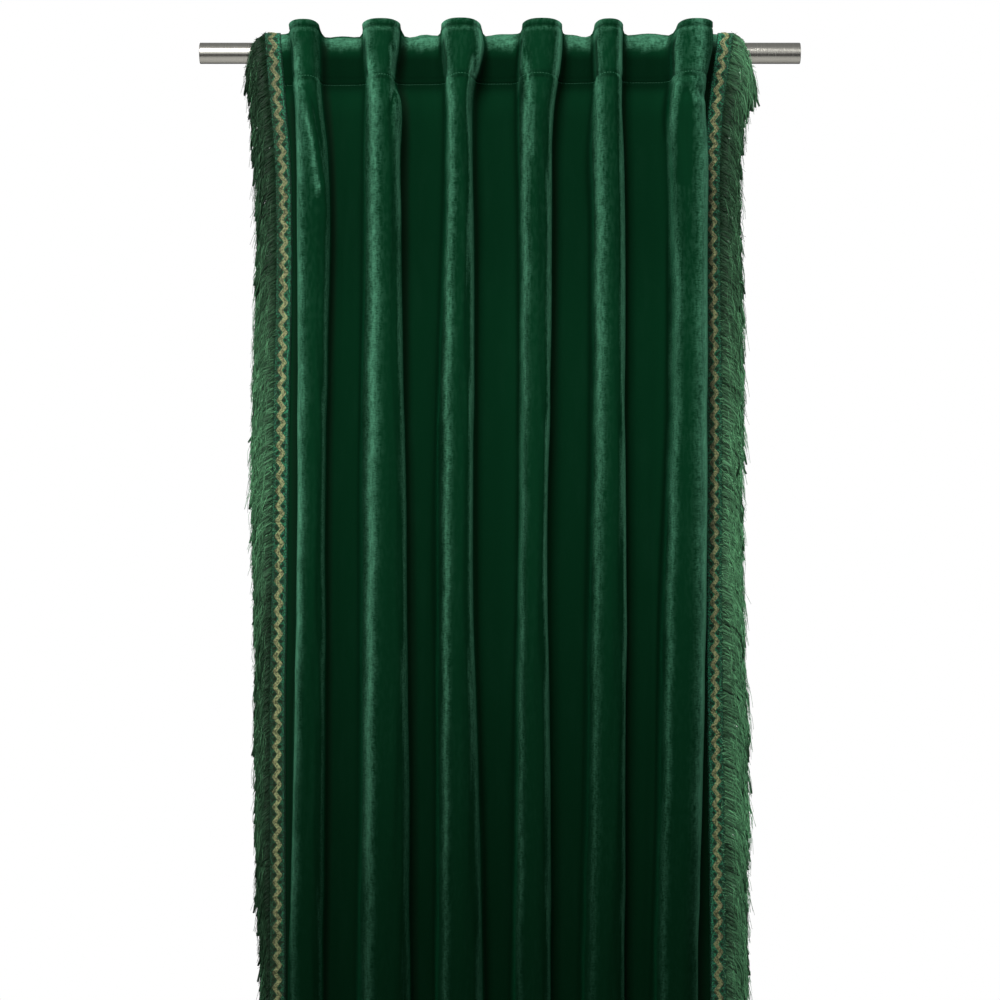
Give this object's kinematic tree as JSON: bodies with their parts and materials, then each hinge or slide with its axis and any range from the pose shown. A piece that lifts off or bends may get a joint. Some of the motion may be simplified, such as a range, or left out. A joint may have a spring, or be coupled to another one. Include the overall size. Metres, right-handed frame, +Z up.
{
  "type": "velvet curtain panel with braided fringe edges on a metal rod",
  "caption": "Velvet curtain panel hanging in deep uneven folds from a plain round rod, with zigzag braid and drooping yarn fringe down both side edges.",
  "frame": {"origin": "middle of the rod's axis", "axes": "+X along the rod to the right as seen from the room, +Z up, the curtain's face looks towards -Y"},
  "size_m": [0.714, 0.1086, 2.41],
  "materials": {
    "velvet": "dark green pile velvet with a pale sheen at its folds",
    "braid": "woven green gimp braid with looped edges",
    "gold_cord": "twisted dull gold cord",
    "fringe_yarn": "soft green cut yarn",
    "steel": "brushed nickel"
  },
  "bodies": {
    "root": {"rod": "steel", "velvet_panel": "velvet", "tab_1": "velvet", "tab_2": "velvet", "tab_3": "velvet", "tab_4": "velvet", "tab_5": "velvet", "tab_6": "velvet", "tab_7": "velvet", "braid_left": "braid", "braid_right": "braid", "zigzag_left": "gold_cord", "zigzag_right": "gold_cord", "fringe_left": "fringe_yarn", "fringe_right": "fringe_yarn"}
  },
  "joints": []
}
